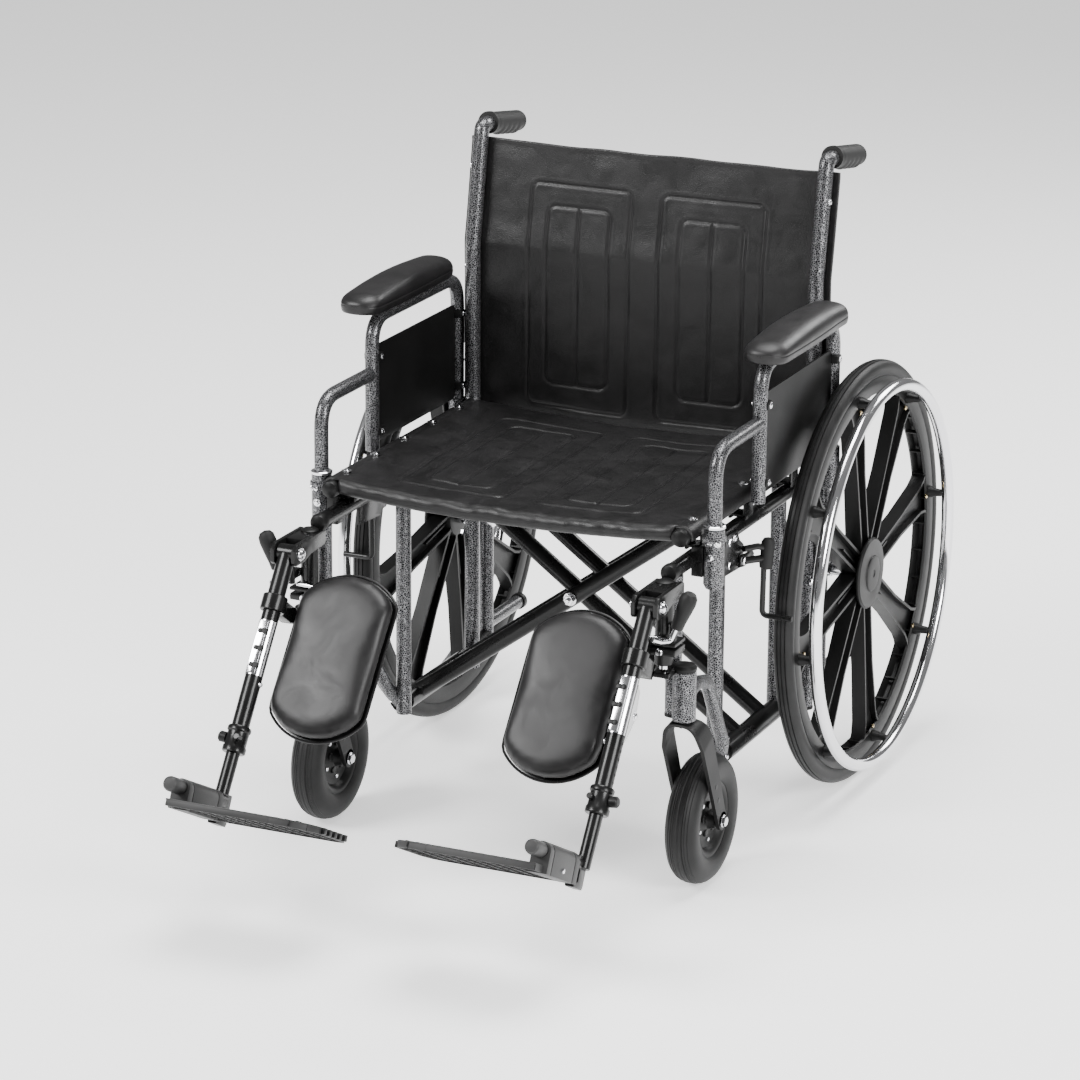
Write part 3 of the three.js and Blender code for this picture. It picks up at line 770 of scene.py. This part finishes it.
def legrest(k, end):
    body = "leg_" + end
    down, front = Vector((0, *DOWN)), Vector((0, *FRONT))
    s = Shape(k).use(GLOSS)
    s.turned([(10.8, 0), (12, 1), (12, 23), (10.8, 24)], (251, *LEG_PIVOT), X_AXIS, 28)
    s.turned([(12, 4), (12, 246), (15, 247), (16.2, 249), (16.2, 253), (14.6, 255), (14.6, 273), (16, 275),
              (16, 282), (14.6, 283.4), (10, 283.6)], leg(LEG_X, 0, 0), down, 28)
    s.rod(leg(LEG_X - 8, 264, 8), leg(LEG_X - 8, 264, 20), 4.2)
    s.use(PLASTIC)
    for n in range(7):
        at = Vector(leg(LEG_X, 176 + 10.5 * n, 0)) + Vector((11.7, 0, 0))
        s.turned([(2.3, 0), (2.3, 0.5), (0, 0.55)], at, X_AXIS, 12)
    s.turned([(4, 0), (7.5, 1), (7.5, 10), (5.5, 12), (0, 12.5)],
             Vector(leg(LEG_X, 264, 0)) + Vector((14, 0, 0)), (1, 0, 0.1), 20)
    s.use(WHITE)
    s.leg_plate([(104, -6), (112, -17), (148, -24), (182, -9), (184, -5), (140, -5)], 272, 274.4, 0.6)
    s.use(CHROME)
    s.bolt(leg(274.4, 144, -16), X_AXIS, 4.4, 4)
    s.bolt(leg(251, 186, 0), -X_AXIS, 3, 3)
    s.done("leg_tubes_" + end, body, "black_metal", ["leg_tube_" + end])

    s = Shape(k).use(CHROME)
    rings = []
    for at in (99, 176):
        ring = []
        for radius, way in ((13.1, 1), (12.1, -1)):
            for n in range(17):
                a = math.radians(way * (-78 + 156 * n / 16))
                out = X_AXIS * math.sin(a) + front * math.cos(a)
                ring.append(Vector(leg(LEG_X, at, 0)) + out * radius)
        rings.append(ring)
    s.rings(rings)
    s.leg_plate([(101, 13), (174, 13), (174, 16), (101, 16)], 257, 269, 0.7)
    s.use(PLASTIC)
    for at in (112, 136, 160):
        s.leg_plate([(at, 12.6), (at + 7, 12.6), (at + 7, 16.5), (at, 16.5)], 253.4, 264, 0.8)
        s.turned([(3.5, 0), (3.5, 4), (3, 4.2)], leg(264, at + 3.5, 12.4), (0, *FRONT), 20)
    s.done("notched_bar_" + end, body, "chrome", ["ratchet_bar_" + end])

    s = Shape(k).use(CHROME)
    s.tube([(277, -652, 396), (281, -634, 388), (286, -612, 383), (294, -606, 406)], 3.4, 7, 14)
    s.use(GRIP)
    tip = Vector((311, -606, 448)) - Vector((293, -606, 402))
    s.turned([(7.4, -2), (8.6, 0), (8.8, 8), (10.8, 26), (11.8, 38), (11, 46), (7.5, 51), (0, 53)],
             (293, -606, 402), tip, 28)
    s.done("release_lever_" + end, "ratchet_lever_" + end, "grip", ["ratchet_lever_" + end])

    calf(k, end)

    s = Shape(k).use(GLOSS)
    s.rod(leg(LEG_X, 160, 0), leg(LEG_X, 356, 0), 9.4, 0.8, 24)
    s.foot_plate([(-10, -10), (22, -10), (22, 4), (10, 8), (10, 24), (22, 27), (22, 32), (-8, 33),
                  (-10, 28)], 251, 264, 1.6)
    s.rod(foot(FOOT_X, 6, 0), foot(FOOT_X, 140, 0), 9.6, 0.8, 28)
    s.use(GREY_CAP)
    s.turned([(9.8, 0), (10.2, 0.6), (10.2, 26), (9.6, 29), (7.4, 31), (0, 31.6)], foot(FOOT_X, 135, 0),
             (0, *FOOT_FRONT), 36)
    s.done("foot_bracket_" + end, "footrest_" + end, "black_metal", ["foot_tube_" + end])
    footplate(k, end)


def footplate(k, end):
    down, front = Vector((0, *FOOT_DOWN)), Vector((0, *FOOT_FRONT))
    s = Shape(k).use(GREY_CAP)
    outline = [(262, 28), (262, 155), (110, 155), (84, 151), (64, 138), (55, 118), (55, 40), (62, 22),
               (76, 14), (238, 14), (238, 28)]
    s.prism([foot(x, f, 18.4) for x, f in outline], down * 2.6, 0.8)

    def rib(x0, f0, x1, f1, width, low):
        a, b = Vector((x0, f0, 0)), Vector((x1, f1, 0))
        n = Vector((-(b - a).y, (b - a).x, 0)).normalized() * width / 2
        s.prism([foot(p.x, p.y, 20) for p in (a - n, b - n, b + n, a + n)], down * (low - 20), 0.4)

    inner = [(x - (1.6 if x > 150 else -1.6), f - (1.6 if f > 80 else -1.6)) for x, f in outline]
    for i, (x, f) in enumerate(inner):
        nx, nf = inner[(i + 1) % len(inner)]
        rib(x, f, nx, nf, 3.2, 28)
    s.use(PLASTIC)
    for n in range(8):
        x = 84 + 20 * n
        rib(x, 18, x, 152, 2, 26.6)
    for n in range(6):
        f = 34 + 20 * n
        rib(58 if f < 120 else 66, f, 260 if f > 28 else 236, f, 2, 26.6)
    for n in range(5):
        f = 42 + 16 * n
        s.prism([foot(55.5, f, 18.6), foot(55.5, f + 8, 18.6), foot(50, f + 8, 18.6), foot(50, f, 18.6)],
                down * 8.6, 0.8)
    for n in range(11):
        x = 76 + 15 * n
        s.prism([foot(x, 30, 17.4), foot(x, 142, 17.4), foot(x + 4, 142, 17.4), foot(x + 4, 30, 17.4)],
                down * 2, 0.5)
    s.use(GREY_CAP)
    for f0, f1 in ((28, 42), (44, 116), (118, 131)):
        arc = [(FOOT_X + 13 * math.cos(math.radians(a)), 1 - 13 * math.sin(math.radians(a)))
               for a in range(0, 181, 15)]
        ring = [(269, 29)] + arc + [(243, 29)]
        s.prism([foot(x, f0, d) for x, d in ring], front * (f1 - f0), 0.6)
    s.use(CHROME)
    s.turned([(3.6, 0), (3.6, 1.6), (2.6, 2.4), (0, 2.6)], foot(269, 80, 18), X_AXIS, 16)
    s.done("tread_plate_" + end, "foot_plate_" + end, "plastic", ["foot_plate_" + end])


def calf_outline(half=70.5, shoulder=82, high=119, steps=24):
    """Straight sides between shallow domed ends, as [across, up] pairs with softened corners."""
    centre = (high ** 2 - shoulder ** 2 - half ** 2) / (2 * (high - shoulder))
    radius = high - centre
    reach = math.asin(half / radius)
    angles = [reach - 2 * reach * i / steps for i in range(steps + 1)]
    dome = [(radius * math.sin(a), centre + radius * math.cos(a)) for a in angles]
    side = [(-half, shoulder - 2 * shoulder * (i + 1) / 14) for i in range(13)]
    loop = dome + side + [(-x, -z) for x, z in dome] + [(-x, -z) for x, z in side]
    return [((a[0] + 2 * b[0] + c[0]) / 4, (a[1] + 2 * b[1] + c[1]) / 4)
            for a, b, c in zip(loop[-1:] + loop[:-1], loop, loop[1:] + loop[:1])]


def puff_up(obj, voxel, cap):
    """Blows a pad up with a short cloth simulation, moving no point more than cap millimetres."""
    remesh = obj.modifiers.new("remesh", "REMESH")
    remesh.mode = "VOXEL"
    remesh.voxel_size = voxel
    remesh.use_smooth_shade = True
    apply(obj, remesh)
    rest = [v.co.copy() for v in obj.data.vertices]
    cloth = obj.modifiers.new("cloth", "CLOTH")
    settings = cloth.settings
    settings.quality = 5
    settings.mass = 0.3
    settings.tension_stiffness = settings.compression_stiffness = 25
    settings.bending_stiffness = 8
    settings.use_pressure = True
    settings.uniform_pressure_force = 4
    settings.effector_weights.gravity = 0
    cloth.point_cache.frame_start, cloth.point_cache.frame_end = 1, 20
    scene = bpy.context.scene
    for step in range(1, 21):
        scene.frame_set(step)
    swollen = obj.evaluated_get(bpy.context.evaluated_depsgraph_get()).to_mesh()
    moved = [v.co.copy() for v in swollen.vertices]
    obj.modifiers.remove(cloth)
    scene.frame_set(1)
    for vert, start, end in zip(obj.data.vertices, rest, moved):
        step = end - start
        vert.co = start + step * min(1, cap * 0.001 / max(step.length, 1e-6))
    smooth = obj.modifiers.new("relax", "SMOOTH")
    smooth.factor = 0.5
    smooth.iterations = 10
    apply(obj, smooth)
    for face in obj.data.polygons:
        face.use_smooth = True
    fine = obj.modifiers.new("smooth", "SUBSURF")
    fine.levels = fine.render_levels = 1


def apply(obj, modifier):
    with bpy.context.temp_override(object=obj, active_object=obj, selected_objects=[obj]):
        bpy.ops.object.modifier_apply(modifier=modifier.name)


def calf(k, end):
    lean = math.radians(38)
    up = Vector((0, math.sin(lean), math.cos(lean)))
    out = Vector((0, -math.cos(lean), math.sin(lean)))
    centre = Vector((171, -686.5, 317))

    def at(x, z, t):
        return centre + X_AXIS * x + up * z + out * t

    edge = calf_outline()
    steps = len(edge)

    def skin(profile):
        """Rings of the outline, each drawn in from its edge and set at its own depth."""
        rings = []
        for inset, t in profile:
            ring = []
            for x, z in edge:
                length = math.hypot(x, z)
                f = max(0.01, (length - inset) / length) if inset < 60 else max(0.01, 1 - inset / 117)
                ring.append(at(x * f, z * f, t))
            rings.append(ring)
        return rings

    s = Shape(k).use(PAD)
    s.rings(skin([(116.9, -11), (60, -11.4), (12, -11.4), (4, -10.8), (2, -8), (1.4, -4), (2, 0), (3.6, 4),
                  (7, 8), (13, 11), (22, 12.6), (36, 13.4), (56, 13.8), (80, 14), (100, 14), (116.9, 14)]))
    pad = s.done("calf_cushion_" + end, "calf_" + end, "vinyl", ["calf_pad_" + end], 70)
    puff_up(pad, 0.005, 1.2)

    s = Shape(k).use(WELT)
    ring = [at(x * 1.004, z * 1.004, -8.4) for x, z in edge]
    rings = []
    for i, p in enumerate(ring):
        t = (ring[(i + 1) % steps] - ring[i - 1]).normalized()
        v = t.cross(out).normalized()
        rings.append([p + (out * math.cos(a) + v * math.sin(a)) * 1.9
                      for a in (math.pi * n / 4 for n in range(8))])
    s.rings(rings, loop=True)
    s.use(GLOSS)
    s.rings(skin([(116.9, -14.8), (60, -14.8), (4, -14.8), (2, -13.6), (2, -12), (60, -11.8),
                  (116.9, -11.8)]))
    s.leg_plate([(62, -53), (84, -53), (84, -45), (62, -45)], 150, 272, 1.5)
    s.leg_plate([(62, -53), (84, -53), (84, -12), (62, -12)], 254, 272, 1.5)
    s.turned([(12.8, 0), (16, 0), (17, 1), (17, 21), (16, 22), (12.8, 22)],
             leg(LEG_X, 62, 0), (0, *DOWN), 28, True)
    s.use(CHROME)
    for x in (166, 196):
        s.bolt(leg(x, 73, -53), (0, -FRONT[0], -FRONT[1]), 5, 4)
    s.done("calf_mount_" + end, "calf_" + end, "black_metal", ["calf_plate_" + end])


# ---------------------------------------------------------------- cross members and slings


def cross_members():
    low, rail = (-LOWER_RAIL[0], LOWER_RAIL[1]), SEAT_RAIL
    for name, side, ys in (("cross_a", -1, (-250, -159)), ("cross_b", 1, (-275, -134))):
        s = Shape(side).use(GLOSS)
        for y in ys:
            s.tube([(low[0], y, low[1]), (rail[0], y, rail[1])], 12, 10, 28)
        s.tube([(low[0], -314, low[1]), (low[0], -124, low[1])], 14.5, 10, 28)
        s.tube([(rail[0], -510, rail[1]), (rail[0], -72, rail[1])], 11, 10, 24)
        s.use(PLASTIC)
        for y, way in ((-510, -1), (-72, 1)):
            s.turned(END_CAP, (SEAT_RAIL[0], y, SEAT_RAIL[1]), (0, way, 0), 28)
        s.use(CHROME)
        s.bolt((low[0], -300, 138), (-0.3, 0, 1), 3.4)
        s.done(name + "_tubes", name, "black_metal", [name])
    s = Shape().use(CHROME)
    s.turned([(9.5, 0), (9.5, 1.6), (8, 1.8)], (0, -287.4, PIVOT_Z), (0, -1, 0), 28)
    s.hexagon((0, -289, PIVOT_Z), (0, -1, 0), 8, 6)
    s.turned([(3.6, 0), (3.6, 4), (2.4, 5), (0, 5)], (0, -294.6, PIVOT_Z), (0, -1, 0), 16)
    s.rod((0, -292, PIVOT_Z), (0, -118, PIVOT_Z), 4.6)
    s.hexagon((0, -122, PIVOT_Z), (0, 1, 0), 8, 6)
    s.use(GLOSS)
    s.rod((0, -262.8, PIVOT_Z), (0, -146.2, PIVOT_Z), 8)
    s.done("pivot_bolt", "cross_b", "chrome", ["cross_bolt"])


def segment_distance(p, a, b):
    ab = (b[0] - a[0], b[1] - a[1])
    t = ((p[0] - a[0]) * ab[0] + (p[1] - a[1]) * ab[1]) / (ab[0] ** 2 + ab[1] ** 2)
    t = min(max(t, 0), 1)
    return math.hypot(p[0] - a[0] - ab[0] * t, p[1] - a[1] - ab[1] * t)


def rounded_rect_distance(p, x0, x1, z0, z1, r=12):
    dx = abs(p[0] - (x0 + x1) / 2) - ((x1 - x0) / 2 - r)
    dz = abs(p[1] - (z0 + z1) / 2) - ((z1 - z0) / 2 - r)
    outside = math.hypot(max(dx, 0), max(dz, 0))
    return abs(outside + min(max(dx, dz), 0) - r)


def quilt(p, low, high):
    """Depth pressed into the sling by its welded lines, and the rise of the padding beside them."""
    x = abs(p[0])
    pos = (x, p[1])
    outer = rounded_rect_distance(pos, 23, 180, low, high)
    inner = rounded_rect_distance(pos, 54, 152, low + 31, high - 31)
    centre = segment_distance(pos, (103, low + 31), (103, high - 31))
    d = min(outer, inner, centre)
    pressed = -2.2 * math.exp(-(d / 1.7) ** 2)
    lip = 0.45 * math.exp(-((d - 4.2) / 2.2) ** 2)
    within = 23 < x < 180 and low < p[1] < high
    puff = 0.7 * (1 - math.exp(-d / 14)) if within else 0.0
    return pressed + lip + puff


def wrinkle(x, y, scale, seed):
    return noise.noise(Vector((x / scale, y / scale, seed)))


def sling(name, columns, rows, surface, halves):
    """A sheet over its columns and rows, placed point by point by the surface function and given a
    thickness.
    """
    bm = bmesh.new()
    grid = [[bm.verts.new(W(*surface(c, r))) for c in columns] for r in rows]
    for a, b in zip(grid, grid[1:]):
        for i in range(len(columns) - 1):
            bm.faces.new((a[i], a[i + 1], b[i + 1], b[i])).smooth = True
    mesh = bpy.data.meshes.new(name)
    bm.to_mesh(mesh)
    bm.free()
    mesh.materials.append(SLING)
    obj = bpy.data.objects.new(name, mesh)
    bpy.context.scene.collection.objects.link(obj)
    thick = obj.modifiers.new("thickness", "SOLIDIFY")
    thick.thickness = 0.0036
    thick.offset = 0
    apply(obj, thick)
    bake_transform(obj)
    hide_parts(*halves)
    return obj


def spread(low, high, step):
    count = max(2, round((high - low) / step))
    return [low + (high - low) * i / count for i in range(count + 1)]


def seat_surface(c, r):
    """c runs across and r from the front hem (negative) to the back hem, both along the cloth.

    Past the rail's inner edge the cloth wraps over the rail, and past the hem's start it turns under.
    """
    rail_edge, rail_wrap, top = 247, 13.2, 505
    hem, turn = -506, 9.5
    side = math.copysign(1, c)
    x = abs(c)
    lift = quilt((c, r), -468, -118)
    near_edge = min(1.0, max(0.0, (r + 508) / 60))
    lift += 2.2 * wrinkle(c, r * 0.6, 60, 3) + 1.1 * wrinkle(c, r * 0.5, 23, 8) * (1.4 - near_edge * 0.8)
    screw = min(abs(r - at) for at in SEAT_SCREWS)
    lift -= 2.0 * math.exp(-((x - 250) / 12) ** 2) * math.exp(-(screw / 12) ** 2)
    if x > rail_edge:
        a = min((x - rail_edge) / rail_wrap, 2.7) - 0.8
        blend = min(1.0, (x - rail_edge) / 8)
        px = (1 - blend) * x + blend * (SEAT_RAIL[0] + rail_wrap * math.sin(a))
        pz = (1 - blend) * top + blend * (SEAT_RAIL[1] + rail_wrap * math.cos(a))
        return (side * px, max(r, -509), pz + lift * max(0.0, 1 - blend))
    level = top - 11 * (1 - (x / rail_edge) ** 2)
    if r >= hem:
        return (side * x, r, level + lift)
    past = hem - r
    a = min(past / turn, math.pi)
    y = hem - turn * math.sin(a)
    z = level - turn * (1 - math.cos(a)) + lift * (1 - a / math.pi)
    if past > turn * math.pi:
        y = hem + (past - turn * math.pi)
        z = level - 2 * turn
    y += (2.4 * wrinkle(c, 0, 34, 5) + 1.2 * wrinkle(c, r, 14, 7)) * math.sin(min(a, 3))
    return (side * x, y, z)


def back_surface(c, r):
    """c runs across the back and r is the height up the cloth."""
    side = math.copysign(1, c)
    x = abs(c)
    base = cane_y(r) - 1.05 * math.exp(-((r - CANE_BEND) / 30) ** 2)
    lift = quilt((c, r), 508, 829)
    top = max(0.0, 1 - (884 - r) / 26)
    lift += 1.7 * wrinkle(c, r, 75, 14) + 0.6 * wrinkle(c, r, 26, 21)
    pull = 1.5 * math.sin(c / 19) * max(0.0, 1 - (r - 488) / 70) + 1.6 * math.sin(c / 26 + 1) * top
    bow = 16 * (1 - (x / 262) ** 2) if x < 262 else 0
    y = base + 12.5 - bow * 0.5 - lift - pull
    if x > 262:
        y = base + 12.5 - 0.05 * (x - 262)
    z = r + (2.0 * wrinkle(c, 0, 90, 30) if r > 870 else 0) - 0.5 * bow * max(0.0, 1 - (r - 488) / 50)
    if r > 878:
        y -= 1.5 * math.sin((r - 878) / 6 * math.pi / 2)
    return (side * x, y, z)


def slings():
    seat = sling("seat_sling", spread(-285, 285, 2.5), spread(-552, -66, 2.5), seat_surface,
                 ("seat_left", "seat_right"))
    back = sling("back_sling", spread(-282, 282, 2.5), spread(488, 884, 2.5), back_surface,
                 ("back_left", "back_right"))
    head = [(7.2, 0), (7.2, 0.8), (4.2, 1), (3.8, 2.4), (2, 3), (0, 3.2)]
    for k, end in ((1, "left"), (-1, "right")):
        s = Shape(k).use(CHROME)
        for y in SEAT_SCREWS:
            s.turned(head, (256.5, y, 506.2), (0, 0, 1), 20)
        s.done("seat_screws_" + end, "seat_" + end, "chrome")


# ---------------------------------------------------------------- stage, light and camera


def stage():
    bm = bmesh.new()
    for x, y in ((-9, -9), (9, -9), (9, 9), (-9, 9)):
        bm.verts.new((x, y, 0))
    bm.faces.new(bm.verts[:])
    mesh = bpy.data.meshes.new("floor")
    bm.to_mesh(mesh)
    bm.free()
    floor = bpy.data.objects.new("floor", mesh)
    bpy.context.scene.collection.objects.link(floor)
    mat, _, _, bsdf = material("floor", grey(0.9), 0.9)
    bsdf.inputs["Specular IOR Level"].default_value = 0.05
    bsdf.inputs["Emission Color"].default_value = (1, 1, 1, 1)
    bsdf.inputs["Emission Strength"].default_value = 0.75
    mesh.materials.append(mat)

    world = bpy.data.worlds.new("studio")
    bpy.context.scene.world = world
    world.use_nodes = True
    world.node_tree.nodes["Background"].inputs["Color"].default_value = (1, 1, 1, 1)
    world.node_tree.nodes["Background"].inputs["Strength"].default_value = 0.22

    for name, at, size, power in (("key", (-2.6, -2.8, 3.2), 1.8, 250), ("fill", (3.4, -1.6, 2.0), 1.6, 160),
                                  ("top", (0.2, 0.4, 4.0), 2.2, 200), ("back", (1.2, 3.4, 2.6), 1.6, 90)):
        data = bpy.data.lights.new(name, "AREA")
        data.size = size
        data.energy = power
        lamp = bpy.data.objects.new(name, data)
        bpy.context.scene.collection.objects.link(lamp)
        lamp.location = at
        aim = Vector((0, 0, 0.4)) - Vector(at)
        lamp.rotation_euler = aim.to_track_quat("-Z", "Y").to_euler()

    data = bpy.data.cameras.new("camera")
    data.lens = 142.1
    data.sensor_width = 36
    camera = bpy.data.objects.new("camera", data)
    bpy.context.scene.collection.objects.link(camera)
    turn = Matrix.Rotation(math.radians(24.28), 4, "Z") @ Matrix.Rotation(math.radians(90 - 17.51), 4, "X")
    turn = turn @ Matrix.Rotation(math.radians(0.4), 4, "Z")
    camera.matrix_world = Matrix.Translation(W(2288.2, -5464.3, 2175.0)) @ turn
    data.clip_end = 60
    bpy.context.scene.camera = camera


stage()
for side, side_name in ((1, "left"), (-1, "right")):
    side_frame(side, side_name)
    rear_wheel(side, side_name)
    caster(side, side_name)
    wheel_lock(side, side_name)
    armrest(side, side_name)
    hanger_parts(side, side_name)
    legrest(side, side_name)
cross_members()
slings()
